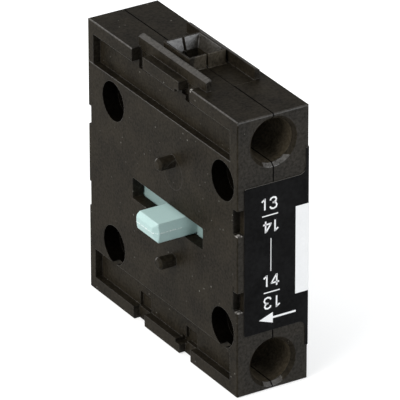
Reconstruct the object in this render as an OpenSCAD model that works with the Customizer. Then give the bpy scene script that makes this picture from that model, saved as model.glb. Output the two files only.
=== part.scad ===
// Side-mounted auxiliary contact block: two moulded half shells around one normally open,
// double-break contact, driven by a slider whose tab stands out of the mating face.
// X runs from the mating face to the far face, the narrow terminal face looks along -Y, Z is up.
// The origin is the centre of the four fixing sockets, on the mating face.

/* [Housing] */
// Height of the housing
body_h = 45; // [44:0.5:60]
// Depth of the housing, narrow face to back edge
body_d = 42.4; // [41:0.1:60]
// Thickness of the housing, mating face to far face
body_w = 12.2; // [11.8:0.1:16]
// Wall between the mechanism and the outside
wall = 1.9; // [1.7:0.05:2.1]
// Wall behind the narrow face and the back edge
end_wall = 2; // [1.6:0.1:2.6]
// Rounding of the long edges
edge_r = 0.25; // [0.15:0.05:0.5]
// Rounding of the corners seen from the side
corner_r = 0.35; // [0.2:0.05:1.2]

/* [Fixing sockets and locating pins] */
// Back edge to the nearest sockets
socket_back = 7.3; // [6.8:0.1:9]
// Narrow face to the nearest sockets
socket_front = 4.1; // [3.8:0.1:5]
// Socket spacing along the height
socket_pitch_z = 24; // [23:0.1:25]
// How far the sockets, the slot and the pins sit below the middle of the housing
socket_drop = 0.4; // [0:0.05:0.5]
// Socket diameter
socket_dia = 6.3; // [4:0.1:6.4]
// Socket depth
socket_depth = 2.7; // [1.5:0.1:3]
// Material around a socket
socket_wall = 0.9; // [0.6:0.05:1]
// Locating pin diameter
pin_dia = 2; // [1.2:0.1:3]
// Locating pin length
pin_len = 2.8; // [1:0.1:5]
// Chamfer at the tip of a pin
pin_chamfer = 0.35; // [0.1:0.05:0.5]
// Place of both pins along the depth
pin_y = -1.6; // [-6:0.1:4]
// Height of the upper pin above the middle of the sockets
upper_pin_z = 9.3; // [8.5:0.1:10]
// Height of the lower pin, below the middle of the sockets
lower_pin_z = -7; // [-9:0.1:-6.5]

/* [Recesses and latches] */
// Depth of the two shallow recesses in each side face
recess_depth = 1.25; // [0.6:0.05:1.3]
// Height of a recess
recess_h = 4.9; // [4:0.1:5]
// Rim left above or below a recess
recess_rim = 2.1; // [1.8:0.05:2.4]
// Recess to back edge
recess_back = 1.6; // [1:0.1:3]
// Recess to narrow face
recess_front = 2.1; // [1.5:0.1:3]
// Width of the gaps that free each latch tongue
latch_gap = 3.2; // [2:0.1:4]
// Length of a latch tongue
latch_len = 10; // [9:0.1:11]
// How far the latch tongues sit behind the middle of the depth
latch_offset = 0.2; // [0:0.1:0.8]
// Depth of the latch gaps
latch_depth = 1.8; // [1.4:0.05:1.9]
// Height of the slit under an upper latch gap
latch_slit = 1.3; // [0.8:0.05:1.6]
// Height of the slit above a lower latch gap
lower_slit = 2.4; // [1.3:0.05:2.6]
// Depth of the lower latch gaps where they pass the rim
lower_gap_depth = 1.1; // [0.8:0.05:1.8]

/* [Terminals] */
// Screw axis to the top or bottom of the housing
screw_inset = 4.5; // [4.4:0.05:4.7]
// Diameter of the screwdriver holes
driver_dia = 7; // [6.8:0.05:7.1]
// Width of the chamfer round each screwdriver hole
driver_chamfer = 0.55; // [0.3:0.05:0.7]
// Narrow face to the middle of the wire entries
entry_front = 21.75; // [21.6:0.05:21.9]
// Wire throat across the thickness
throat_w = 4.3; // [4.1:0.05:4.4]
// Wire throat along the depth
throat_d = 5.1; // [4.8:0.05:5.2]
// How far the funnel widens on each side
funnel_flare = 0.75; // [0.4:0.05:1]
// Depth of the funnel
funnel_depth = 1.9; // [1.2:0.1:2.4]
// Screw thread diameter
screw_dia = 3.5; // [3:0.1:4]
// Screw head diameter
head_dia = 6.2; // [5.4:0.1:6.4]
// Screw head height
head_h = 1.95; // [1.5:0.05:2.2]
// Clamp travel from open to closed
clamp_travel = 4.5; // [3:0.1:4.6]
// Thickness of the sheet of a clamp cage
cage_sheet = 0.8; // [0.6:0.05:0.9]
// Thickness of the threaded wall of a clamp cage
cage_nut = 1.8; // [1.4:0.1:2]
// Height of a clamp cage
cage_h = 5.8; // [4.5:0.1:5.9]

/* [Wire chimney and barriers] */
// Height of the chimney above the housing
chimney_h = 2.15; // [1:0.05:4]
// Wall left round the mouth of the chimney
chimney_rim = 0.3; // [0.25:0.05:0.6]
// Slit between the two halves of the chimney
chimney_slit = 0.4; // [0.2:0.05:0.8]
// Length of the two insulating barriers
barrier_len = 19.1; // [12:0.1:22]
// How far the barriers sit towards the narrow face from the wire entries
barrier_offset = 1.15; // [0:0.05:1.5]
// Thickness of a barrier
barrier_t = 0.85; // [0.5:0.05:1.2]
// Height of a barrier at its inner edge
barrier_h = 1.8; // [1:0.05:3]
// Fall of a barrier's top towards its outer edge
barrier_fall = 0.4; // [0:0.05:0.6]
// Distance of a barrier from the side face
barrier_inset = 1.55; // [1:0.05:1.7]

/* [Contacts] */
// Thickness of the contact strips and the bridge
strip_t = 1; // [0.6:0.05:1.1]
// Width of the contact strips
strip_w = 4.2; // [3:0.1:4.3]
// Width of the retaining ears on a strip
ear_w = 7; // [5.5:0.1:7.6]
// Diameter of the contact tips
tip_dia = 2.2; // [1.5:0.05:2.5]
// Thickness of the contact tips
tip_t = 0.8; // [0.5:0.05:1]
// Distance of each contact from the middle
tip_z = 5.8; // [5.4:0.05:6.1]
// Opening between the tips at rest
contact_gap = 3.4; // [2:0.1:3.6]
// Room beside the ends of the bridge
bridge_room = 0.5; // [0.4:0.05:0.7]
// How much wider the ends of the bridge are than its neck
bridge_step = 1; // [0.6:0.1:1.2]

/* [Slider] */
// Length of the slot in the mating face
slot_len = 20; // [17:0.1:21]
// Height of the slot in the mating face
slot_h = 3.5; // [2.5:0.1:4]
// Width of the driving tab
tab_w = 5.6; // [3:0.1:7]
// Place of the tab along the depth
tab_y = -2.4; // [-4:0.1:0]
// Height of the driving tab
tab_h = 3.1; // [2.4:0.1:3.3]
// How far the tab stands out of the mating face
tab_out = 5.3; // [3:0.1:6]
// Chamfer of the tab's upper tip edge
tab_chamfer = 0.7; // [0.3:0.05:1]
// Lead-in of the tab's leading tip edge
tab_lead = 0.8; // [0.3:0.05:1.2]
// Draft of the tab's sides, from its middle up and down
tab_draft = 0.15; // [0:0.05:0.3]
// Thickness of the slider plate
plate_t = 1.2; // [0.9:0.05:1.3]
// Height of the slider plate
plate_h = 6.4; // [5.6:0.1:7]
// Slider travel
travel = 4.8; // [3:0.1:4.8]
// Outer diameter of the return spring
return_dia = 3.6; // [3:0.1:4.4]
// Outer diameter of the contact spring
contact_spring_dia = 3; // [2.4:0.1:3.2]
// Spring wire diameter
spring_wire = 0.38; // [0.25:0.01:0.45]

/* [Label] */
// Thickness of the wrapped label
label_t = 0.12; // [0.05:0.01:0.3]
// Clear strip between the mating face and the label
label_inset = 1.15; // [1.1:0.05:3]
// Height of the label on the narrow face
label_h = 24.1; // [16:0.1:26]
// Middle of the label above or below the middle of the housing
label_z = -0.55; // [-2:0.05:2]
// Height of the label flap on the far face
flap_h = 32.4; // [20:0.1:36]
// Length of the label flap on the far face
flap_len = 12; // [4:0.5:20]
// Height of the white field
field_h = 14.3; // [8:0.1:18]
// Width of the white field on the narrow face
field_w = 2.3; // [1:0.1:5]
// Length of the white field on the far face
field_wrap = 5; // [2:0.5:10]

/* [Hidden] */
$fn = 48;

// Small play that keeps moving pieces apart
play = 0.1;
// Seat clearance between pieces of one body
seat = 0.05;
// Overshoot that keeps cuts from ending on a face
cut = 0.5;

// Outer planes of the housing and its parting plane
socket_pitch_y = body_d - socket_back - socket_front;
y_back = socket_pitch_y / 2 + socket_back;
y_front = y_back - body_d;
z_top = body_h / 2;
x_part = body_w / 2;

// Screw axis and everything along it, from the narrow face to the back of the clamp
screw_z = z_top - screw_inset;
entry_y = y_front + entry_front;
tongue_y = entry_y - throat_d / 2 - strip_t / 2;
tongue_back = tongue_y + strip_t / 2;
tongue_front = tongue_y - strip_t / 2;
wire_room = clamp_travel + play;
cage_back_t = 1;
cage_window_back = tongue_back + wire_room;
cage_back = cage_window_back + cage_back_t;
cage_window_front = tongue_front - play;
cage_front = cage_window_front - cage_nut;
chamber_front = cage_front - clamp_travel - 2 * play;
chamber_back = cage_back + 2 * play;
shoulder_t = 0.7;
head_seat = chamber_front - shoulder_t;
head_front = head_seat - seat - head_h;
driver_end = head_front - 3 * seat;
head_pocket_dia = head_dia + 4 * play;
cage_w = strip_w + 2 * play + 2 * cage_sheet;
chamber_w = cage_w + 4 * play;
chamber_low = screw_z - cage_h / 2 - 3 * play;
chamber_high = screw_z + cage_h / 2 + play;
head_edge = 0.4;
cross_w = 1;
cross_len = 3.8;
cross_depth = 1.2;
groove_pitch = 1.3;
groove_half = 0.35;
groove_depth = 0.25;

// Mechanism chamber and the channel that guides the slider plate
mech_half = 7.6;
mech_front = y_front + end_wall;
mech_back = y_back - end_wall - 2;
plate_back = slot_len / 2 + 2;
channel_back = max(mech_back, plate_back + travel + 2 * play);
channel_half = plate_h / 2 + 2 * play;
slot_corner = 0.25;
plate_x = wall + 2 * play;
channel_x = plate_x + plate_t + play;

// Contacts along Y at rest
fixed_tip_face = tongue_front - tip_t;
moving_tip_face = fixed_tip_face - contact_gap;
bridge_back = moving_tip_face - tip_t;
bridge_front = bridge_back - strip_t;
wipe = travel - contact_gap + seat;
bridge_half = tip_z + tip_dia / 2 + play;
bridge_end_w = 2 * (x_part - channel_x - bridge_room);
bridge_w = bridge_end_w - bridge_step;
strip_end = tip_z - tip_dia / 2 - 0.5;
crown = 0.15;
crown_w = 0.35;

// Ears that hold a contact strip in the housing
ear_support = 2.2;
ear_low = mech_half + ear_support;
ear_high = ear_low + 2;

// Slider
carrier_half = 2.6;
carrier_x = body_w - wall - 4 * play;
window_half = max(bridge_w, contact_spring_dia) / 2 + 2 * play;
window_back = bridge_back + seat;
contact_spring_room = 3.65;
window_front = bridge_front - wipe - contact_spring_room;
carrier_bar = 1.1;
carrier_back = window_back + carrier_bar + 3 * play;
carrier_front = window_front - carrier_bar;
slider_front = mech_front + play;
return_spring_room = 10.5;
stem_back = mech_back - return_spring_room;
stem_half = 1.9;
spring_post_dia = 2;
spring_post_len = 3.5;
boss_dia = 1.6;
boss_len = 0.5;
tab_edge = 0.35;

// Middle of the latch tongues and of the barriers along the depth
latch_y = (y_front + y_back) / 2 + latch_offset;
barrier_y = entry_y - barrier_offset;

// Recesses, latches and pockets
recess_high = z_top - recess_rim;
recess_low = recess_high - recess_h;
hook_len = 1.1;
hook_rise = 0.55;
tongue_drop = 0.15;
cover_step = 0.12;
pocket_low = mech_half + 2;
pocket_high = z_top - end_wall;
pocket_front = chamber_back + 1.4;
pocket_back = y_back - end_wall;
peg_dia = 1.8;
peg_len = 1.6;
peg_y = y_back - end_wall - peg_dia / 2 - 0.7;
peg_z = z_top - end_wall - peg_dia / 2 - 0.7;
front_peg_back = 2.2;
front_peg_y = mech_front + front_peg_back;
front_peg_z = mech_half + 1.8;

// Notches in the long edges of the mating face, as [low, high, size]
front_notches = [[4.1, 8.2, 1.15], [-8.4, -5.2, 1.15]];
back_notches = [[5, 8.2, 0.8], [-8.7, -4.5, 0.55]];
notch_depth = 1.15;

// Chimney round the mouth of the funnel
mouth_w = throat_w + 2 * funnel_flare;
mouth_d = throat_d + 2 * funnel_flare;
chimney_r = 0.2;
barrier_r = 0.25;

// Label
label_corner = 0.3;
label_curve = 0.5;
flap_fillet = 1.2;
field_t = 0.04;

black_plastic = [0.2, 0.19, 0.18];
teal_plastic = [0.62, 0.76, 0.76];
label_black = [0.1, 0.1, 0.11];
paper_white = [0.93, 0.93, 0.92];
contact_brass = [0.78, 0.6, 0.3];
silver_tip = [0.82, 0.82, 0.8];
zinc_steel = [0.72, 0.73, 0.74];
spring_steel = [0.6, 0.61, 0.63];

// Box between two opposite corners
module span(low, high) {
    translate(low) cube([high[0] - low[0], high[1] - low[1], high[2] - low[2]]);
}

// Rectangle between two opposite corners with round corners
module round_rect(low, high, r) {
    translate([low[0] + r, low[1]]) square([high[0] - low[0] - 2 * r, high[1] - low[1]]);
    translate([low[0], low[1] + r]) square([high[0] - low[0], high[1] - low[1] - 2 * r]);
    for (x = [low[0] + r, high[0] - r], y = [low[1] + r, high[1] - r]) {
        translate([x, y]) circle(r);
    }
}

// Extrudes a drawing made in Y and Z along X, from x0 over a length
module along_x(x0, len) {
    translate([x0, 0, 0]) rotate([90, 0, 90]) linear_extrude(len) children();
}

// Extrudes a drawing made in X and Z along Y, from y0 over a length
module along_y(y0, len) {
    translate([0, y0 + len, 0]) rotate([90, 0, 0]) linear_extrude(len) children();
}

// Round bar along Y between two places
module bar_y(x, z, dia, y0, y1) {
    translate([x, y0, z]) rotate([-90, 0, 0]) cylinder(d = dia, h = y1 - y0);
}

// Round bar along X between two places
module bar_x(y, z, dia, x0, x1) {
    translate([x0, y, z]) rotate([0, 90, 0]) cylinder(d = dia, h = x1 - x0);
}

// Children as drawn for the upper terminal, and mirrored for the lower one
module both_ends() {
    children();
    mirror([0, 0, 1]) children();
}

// Raises a node drawn about the middle of the housing into the frame of the sockets
module lift() {
    translate([0, 0, socket_drop]) children();
}

// Children at each of the four fixing sockets
module at_sockets() {
    for (y = [-1, 1], z = [-1, 1]) {
        translate([0, y * socket_pitch_y / 2, z * socket_pitch_z / 2 - socket_drop]) children();
    }
}

// Children as drawn for the mating face, and mirrored for the far face
module both_faces() {
    children();
    translate([body_w, 0, 0]) mirror([1, 0, 0]) children();
}

// Outer block of the closed housing with every edge rounded
module outer_block() {
    intersection() {
        along_x(0, body_w) round_rect([y_front, -z_top], [y_back, z_top], corner_r);
        translate([0, 0, -z_top]) linear_extrude(body_h)
            round_rect([0, y_front], [body_w, y_back], edge_r);
        along_y(y_front, body_d) round_rect([0, -z_top], [body_w, z_top], edge_r);
    }
}

// Rectangular hole that widens over the funnel depth towards z_mouth
module funnel_cut(z_mouth) {
    z_throat = z_mouth - funnel_depth;
    half_w = throat_w / 2;
    half_d = throat_d / 2;
    intersection() {
        along_y(entry_y - mouth_d, 2 * mouth_d) polygon([
            [x_part - half_w, z_throat], [x_part + half_w, z_throat],
            [x_part + mouth_w / 2, z_mouth], [x_part + mouth_w / 2, z_mouth + cut],
            [x_part - mouth_w / 2, z_mouth + cut], [x_part - mouth_w / 2, z_mouth]
        ]);
        along_x(x_part - mouth_w, 2 * mouth_w) polygon([
            [entry_y - half_d, z_throat], [entry_y + half_d, z_throat],
            [entry_y + mouth_d / 2, z_mouth], [entry_y + mouth_d / 2, z_mouth + cut],
            [entry_y - mouth_d / 2, z_mouth + cut], [entry_y - mouth_d / 2, z_mouth]
        ]);
    }
}

// Straight throat from the clamp chamber up to the funnel
module throat_cut(z_mouth) {
    span([x_part - throat_w / 2, entry_y - throat_d / 2, chamber_high - cut],
         [x_part + throat_w / 2, entry_y + throat_d / 2, z_mouth - funnel_depth]);
}

// Room for one terminal: screwdriver hole, screw, clamp and contact strip
module terminal_cut() {
    bar_y(x_part, screw_z, driver_dia, y_front - cut, driver_end);
    translate([x_part, y_front - cut, screw_z]) rotate([-90, 0, 0])
        cylinder(d1 = driver_dia + 2 * (driver_chamfer + cut), d2 = driver_dia,
                 h = driver_chamfer + cut);
    bar_y(x_part, screw_z, head_pocket_dia, driver_end - seat, head_seat);
    bar_y(x_part, screw_z, screw_dia + 6 * play, head_seat - seat, chamber_front + cut);
    span([x_part - chamber_w / 2, chamber_front, chamber_low],
         [x_part + chamber_w / 2, chamber_back, chamber_high]);
    span([x_part - strip_w / 2 - seat, tongue_front - seat, mech_half - cut],
         [x_part + strip_w / 2 + seat, tongue_back + seat, chamber_low + cut]);
    span([x_part - ear_w / 2 - seat, tongue_front - seat, ear_low - seat],
         [x_part + ear_w / 2 + seat, tongue_back + seat, ear_high + seat]);
}

// Inside of the housing: mechanism chamber, slider channel and corner pockets
module inner_cut() {
    span([channel_x, mech_front, -mech_half], [body_w - wall, mech_back, mech_half]);
    span([wall, mech_front, -channel_half], [channel_x + cut, channel_back, channel_half]);
    both_ends() terminal_cut();
    difference() {
        both_ends() difference() {
            span([wall, pocket_front, pocket_low], [body_w - wall, pocket_back, pocket_high]);
            for (x = [0, body_w - latch_depth - wall]) {
                span([x, pocket_front - cut, recess_low - wall],
                     [x + latch_depth + wall, pocket_back + cut, z_top]);
            }
            bar_x(peg_y, peg_z, peg_dia + 2, 0, body_w);
        }
        at_sockets() bar_x(0, 0, socket_dia + 2 * socket_wall, 0, socket_depth + socket_wall);
    }
}

// Shallow recess of the mating face with its two latch gaps and the slits below them
module side_recess(slit, rim_depth) {
    latch_front = latch_y - latch_len / 2;
    latch_back = latch_y + latch_len / 2;
    span([-cut, y_front + recess_front, recess_low],
         [recess_depth, y_back - recess_back, recess_high]);
    for (gap_front = [latch_front - latch_gap, latch_back]) {
        span([-cut, gap_front, recess_high - slit],
             [latch_depth, gap_front + latch_gap, recess_high + seat]);
        span([-cut, gap_front, recess_high], [rim_depth, gap_front + latch_gap, z_top + cut]);
    }
    // undercut at the front end of the latch tongue
    span([-cut, latch_front - cut, recess_high - cut],
         [latch_depth, latch_front + hook_len, recess_high + hook_rise]);
    // the tongue sits a little below the top face
    span([-cut, latch_front, z_top - tongue_drop], [rim_depth, latch_back, z_top + cut]);
}

// Both recesses of the mating face
module face_recesses() {
    side_recess(latch_slit, latch_depth);
    mirror([0, 0, 1]) side_recess(lower_slit, lower_gap_depth);
}

// Insulating barrier beside the chimney, its top sloping down to the side face
module barrier() {
    y0 = barrier_y - barrier_len / 2;
    intersection() {
        along_y(y0, barrier_len) polygon([
            [barrier_inset, z_top - cut], [barrier_inset + barrier_t, z_top - cut],
            [barrier_inset + barrier_t, z_top + barrier_h],
            [barrier_inset, z_top + barrier_h - barrier_fall]
        ]);
        along_x(0, body_w)
            round_rect([y0, z_top - 2], [y0 + barrier_len, z_top + barrier_h], barrier_r);
    }
}

// Chimney block with its slit, before the funnel is cut
module chimney() {
    half_w = mouth_w / 2 + chimney_rim;
    half_d = mouth_d / 2 + chimney_rim;
    difference() {
        translate([0, 0, z_top - cut]) linear_extrude(chimney_h + cut)
            round_rect([x_part - half_w, entry_y - half_d],
                       [x_part + half_w, entry_y + half_d], chimney_r);
        span([x_part - chimney_slit / 2, entry_y - mouth_d, z_top],
             [x_part + chimney_slit / 2, entry_y + mouth_d, z_top + chimney_h + cut]);
    }
}

// Whole housing before it is parted into its two halves
module closed_housing() {
    difference() {
        union() {
            difference() {
                outer_block();
                both_faces() face_recesses();
            }
            chimney();
            both_faces() barrier();
        }
        inner_cut();
        funnel_cut(z_top + chimney_h);
        throat_cut(z_top + chimney_h);
        mirror([0, 0, 1]) {
            funnel_cut(z_top);
            throat_cut(z_top);
        }
    }
}

// Places of the pegs that line the two shells up
module at_pegs() {
    both_ends() {
        translate([0, peg_y, peg_z]) children();
        translate([0, front_peg_y, front_peg_z]) children();
    }
}

// Notches in the long edges of the mating face
module edge_notches() {
    for (n = front_notches) {
        span([-cut, y_front - cut, n[0]], [notch_depth, y_front + n[2], n[1]]);
    }
    for (n = back_notches) {
        span([-cut, y_back - n[2], n[0]], [notch_depth, y_back + cut, n[1]]);
    }
}

// Locating pin on the mating face with a chamfered tip
module locating_pin(z) {
    translate([0, pin_y, z - socket_drop]) rotate([0, -90, 0]) rotate_extrude() polygon([
        [0, -wall], [pin_dia / 2, -wall], [pin_dia / 2, pin_len - pin_chamfer],
        [pin_dia / 2 - pin_chamfer, pin_len], [0, pin_len]
    ]);
}

module mating_shell() {
    color(black_plastic) lift() {
        difference() {
            intersection() {
                closed_housing();
                span([-cut, y_front - 1, -z_top - 1], [x_part, y_back + 1, z_top + chimney_h + 1]);
            }
            at_sockets() bar_x(0, 0, socket_dia, -cut, socket_depth);
            translate([0, 0, -socket_drop]) along_x(-cut, wall + 2 * cut)
                round_rect([-slot_len / 2, -slot_h / 2], [slot_len / 2, slot_h / 2], slot_corner);
            edge_notches();
        }
        locating_pin(upper_pin_z);
        locating_pin(lower_pin_z);
        at_pegs() bar_x(0, 0, peg_dia, x_part - 1, x_part + peg_len);
    }
}

module cover_shell() {
    color(black_plastic) lift() difference() {
        intersection() {
            closed_housing();
            span([x_part, y_front - 1, -z_top - 1],
                 [body_w + cut, y_back + 1, z_top + chimney_h + 1]);
        }
        at_pegs() bar_x(0, 0, peg_dia + 2 * seat, x_part - cut, x_part + peg_len + 2 * play);
        // shallow step in the top face between the parting line and the barrier
        step_front = barrier_y - barrier_len / 2 - 2 * play;
        span([x_part - cut, step_front, z_top - cover_step],
             [body_w - barrier_inset - barrier_t, entry_y - mouth_d / 2 - chimney_rim, z_top + cut]);
    }
}

// Slider: guide plate, driving tab, bridge carrier and spring post in one moulding
module slider() {
    tab_half = tab_h / 2;
    tab_front = tab_y - tab_w / 2;
    tab_back = tab_y + tab_w / 2;
    color(teal_plastic) lift() {
        span([plate_x, slider_front, -plate_h / 2], [plate_x + plate_t, plate_back, plate_h / 2]);
        difference() {
            span([plate_x, carrier_front, -carrier_half], [carrier_x, carrier_back, carrier_half]);
            span([x_part - window_half, window_front, -carrier_half - cut],
                 [x_part + window_half, window_back, carrier_half + cut]);
        }
        bar_y(x_part, 0, boss_dia, window_front - seat, window_front + 2 * boss_len);
        span([plate_x, carrier_back - cut, -stem_half], [x_part + stem_half, stem_back, stem_half]);
        bar_y(x_part, 0, spring_post_dia, stem_back - seat, stem_back + spring_post_len);
        translate([0, 0, -socket_drop]) intersection() {
            along_y(tab_front, tab_w) polygon([
                [plate_x + seat, -tab_half], [plate_x + seat, tab_half],
                [-tab_out + tab_chamfer, tab_half], [-tab_out, tab_half - tab_chamfer],
                [-tab_out, 0], [-tab_out + tab_edge, tab_edge - tab_half],
                [-tab_out + 2 * tab_edge, -tab_half]
            ]);
            translate([0, 0, -tab_half]) linear_extrude(tab_h) polygon([
                [plate_x + seat, tab_front], [-tab_out + tab_lead, tab_front],
                [-tab_out, tab_front + tab_lead], [-tab_out, tab_back - tab_edge],
                [-tab_out + tab_edge, tab_back], [plate_x + seat, tab_back]
            ]);
            along_x(-tab_out, tab_out + plate_x + plate_t) polygon([
                [tab_front, 0], [tab_front + tab_draft, tab_half], [tab_back - tab_draft, tab_half],
                [tab_back, 0], [tab_back - tab_draft, -tab_half], [tab_front + tab_draft, -tab_half]
            ]);
        }
    }
}

// Ring of points round the wire of a coil whose axis is Y
function coil_ring(t, coil_r, wire_r, len, turns, sides) =
    let (angle = 360 * turns * t, y = wire_r + (len - 2 * wire_r) * t)
    [for (k = [0:sides - 1]) let (a = 360 * k / sides, r = coil_r + wire_r * cos(a))
        [r * cos(angle), y + wire_r * sin(a), r * sin(angle)]];

// Open coil spring along Y that starts at the origin
module coil(dia, len, turns) {
    sides = 6;
    steps = 14 * turns;
    wire_r = spring_wire / 2;
    points = [for (i = [0:steps])
        each coil_ring(i / steps, dia / 2 - wire_r, wire_r, len, turns, sides)];
    walls = [for (i = [0:steps - 1], k = [0:sides - 1])
        let (a = i * sides + k, b = i * sides + (k + 1) % sides)
        [a, a + sides, b + sides, b]];
    start_cap = [[for (k = [0:sides - 1]) k]];
    end_cap = [[for (k = [sides - 1:-1:0]) steps * sides + k]];
    polyhedron(points, concat(walls, start_cap, end_cap), convexity = 8);
}

module return_spring() {
    color(spring_steel) lift() translate([x_part, stem_back + seat, 0])
        coil(return_dia, mech_back - stem_back - 2 * seat, 8);
}

module contact_spring() {
    color(spring_steel) lift() translate([x_part, window_front + seat, 0])
        coil(contact_spring_dia, bridge_front - window_front - 2 * seat, 6);
}

// Bridge with wider ends that keep it in the slider, and a boss that centres its spring
module contact_bridge() {
    neck_half = carrier_half + play;
    color(contact_brass) lift() {
        along_y(bridge_front, strip_t) {
            round_rect([x_part - bridge_w / 2, -bridge_half],
                       [x_part + bridge_w / 2, bridge_half], 0.8);
            for (z = [-bridge_half, neck_half]) {
                round_rect([x_part - bridge_end_w / 2, z],
                           [x_part + bridge_end_w / 2, z + bridge_half - neck_half], 0.6);
            }
        }
        bar_y(x_part, 0, boss_dia, bridge_front - boss_len, bridge_front + seat);
    }
}

// Contact tip along Y with a low crown on the face that closes
module contact_tip(y0, y1) {
    fall = crown * sign(y1 - y0);
    color(silver_tip) translate([x_part, 0, tip_z]) rotate([-90, 0, 0]) rotate_extrude()
        polygon([[0, y0], [tip_dia / 2, y0], [tip_dia / 2, y1 - fall],
                 [tip_dia / 2 - crown_w, y1], [0, y1]]);
}

module upper_moving_tip() {
    lift() contact_tip(bridge_back, moving_tip_face);
}

module lower_moving_tip() {
    lift() mirror([0, 0, 1]) contact_tip(bridge_back, moving_tip_face);
}

// Contact strip from the clamp down to its tip, held by a pair of ears
module fixed_contact() {
    color(contact_brass) {
        along_y(tongue_front, strip_t) {
            round_rect([x_part - strip_w / 2, strip_end],
                       [x_part + strip_w / 2, screw_z + cage_h / 2], 0.3);
            round_rect([x_part - ear_w / 2, ear_low], [x_part + ear_w / 2, ear_high], 0.2);
        }
    }
}

module upper_fixed_contact() {
    lift() fixed_contact();
}

module lower_fixed_contact() {
    lift() mirror([0, 0, 1]) fixed_contact();
}

module upper_fixed_tip() {
    lift() contact_tip(tongue_front, fixed_tip_face);
}

module lower_fixed_tip() {
    lift() mirror([0, 0, 1]) contact_tip(tongue_front, fixed_tip_face);
}

// Clamp cage: a folded sleeve round the tongue and the wire, threaded at the front
module clamp_cage() {
    inner = strip_w + 2 * play;
    color(zinc_steel) difference() {
        translate([0, 0, screw_z - cage_h / 2]) linear_extrude(cage_h) difference() {
            round_rect([x_part - cage_w / 2, cage_front], [x_part + cage_w / 2, cage_back], 0.7);
            round_rect([x_part - inner / 2, cage_window_front],
                       [x_part + inner / 2, cage_window_back], 0.15);
        }
        bar_y(x_part, screw_z, screw_dia + 2 * seat, cage_front - cut, cage_window_front + cut);
        // grooves that grip the wire
        for (k = [-1, 0, 1]) {
            z = screw_z + k * groove_pitch;
            along_x(x_part - strip_w / 2, strip_w) polygon([
                [cage_window_back - seat, z - groove_half],
                [cage_window_back - seat, z + groove_half],
                [cage_window_back + groove_depth, z]
            ]);
        }
    }
}

module upper_clamp_cage() {
    lift() clamp_cage();
}

module lower_clamp_cage() {
    lift() mirror([0, 0, 1]) clamp_cage();
}

// Terminal screw with a combined slot and cross recess
module terminal_screw() {
    tip_end = tongue_front - seat;
    color(zinc_steel) difference() {
        translate([x_part, 0, screw_z]) rotate([-90, 0, 0]) rotate_extrude() polygon([
            [0, head_front], [head_dia / 2 - head_edge, head_front],
            [head_dia / 2, head_front + head_edge], [head_dia / 2, head_front + head_h],
            [screw_dia / 2, head_front + head_h], [screw_dia / 2, tip_end - head_edge],
            [screw_dia / 2 - head_edge, tip_end], [0, tip_end]
        ]);
        span([x_part - head_dia, head_front - cut, screw_z - cross_w / 2],
             [x_part + head_dia, head_front + cross_depth, screw_z + cross_w / 2]);
        span([x_part - cross_w / 2, head_front - cut, screw_z - cross_len / 2],
             [x_part + cross_w / 2, head_front + cross_depth, screw_z + cross_len / 2]);
    }
}

module upper_terminal_screw() {
    lift() terminal_screw();
}

module lower_terminal_screw() {
    lift() mirror([0, 0, 1]) terminal_screw();
}

// Skin of a given thickness over the narrow and far faces, starting at a given lift
module wrapped_skin(lift, t, height) {
    r = edge_r + lift;
    translate([0, 0, -height / 2]) linear_extrude(height) difference() {
        round_rect([-lift - t, y_front - lift - t], [body_w + lift + t, y_back], r + t);
        round_rect([-lift, y_front - lift], [body_w + lift, y_back + cut], r);
    }
}

module side_label() {
    color(label_black) lift() intersection() {
        translate([0, 0, label_z]) wrapped_skin(0, label_t, flap_h);
        union() {
            along_y(y_front - cut, cut + edge_r) {
                round_rect([label_inset, label_z - label_h / 2],
                           [body_w + cut, label_z + label_h / 2], label_corner);
                round_rect([body_w - label_curve, label_z - flap_h / 2],
                           [body_w + cut, label_z + flap_h / 2], label_corner);
                for (k = [-1, 1]) {
                    translate([body_w - label_curve, label_z + k * label_h / 2]) difference() {
                        translate([-flap_fillet, k > 0 ? -seat : seat - flap_fillet])
                            square(flap_fillet);
                        translate([-flap_fillet, k * flap_fillet]) circle(flap_fillet);
                    }
                }
            }
            along_x(body_w - label_curve, label_curve + cut)
                round_rect([y_front - cut, label_z - flap_h / 2],
                           [y_front + flap_len, label_z + flap_h / 2], label_corner);
        }
    }
}

module label_field() {
    color(paper_white) lift() intersection() {
        translate([0, 0, label_z]) wrapped_skin(label_t, field_t, field_h);
        union() {
            span([body_w - field_w, y_front - cut, -z_top], [body_w + cut, y_front + edge_r, z_top]);
            span([body_w - edge_r, y_front - cut, -z_top],
                 [body_w + cut, y_front + field_wrap, z_top]);
        }
    }
}

mating_shell();
cover_shell();
slider();
return_spring();
contact_spring();
contact_bridge();
upper_moving_tip();
lower_moving_tip();
upper_fixed_contact();
lower_fixed_contact();
upper_fixed_tip();
lower_fixed_tip();
upper_clamp_cage();
lower_clamp_cage();
upper_terminal_screw();
lower_terminal_screw();
side_label();
label_field();
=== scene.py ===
"""Looks for a side-mounted auxiliary contact block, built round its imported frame.

Lengths are in metres, or in millimetres where a docstring says so, in the frame of the part: X
runs from the mating face to the far face, the narrow terminal face looks along -Y, and Z is up.
"""

from __future__ import annotations

import logging
import math
from dataclasses import dataclass, field
from enum import Enum

import bmesh
import bpy
from mathutils import Matrix, Vector

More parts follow.
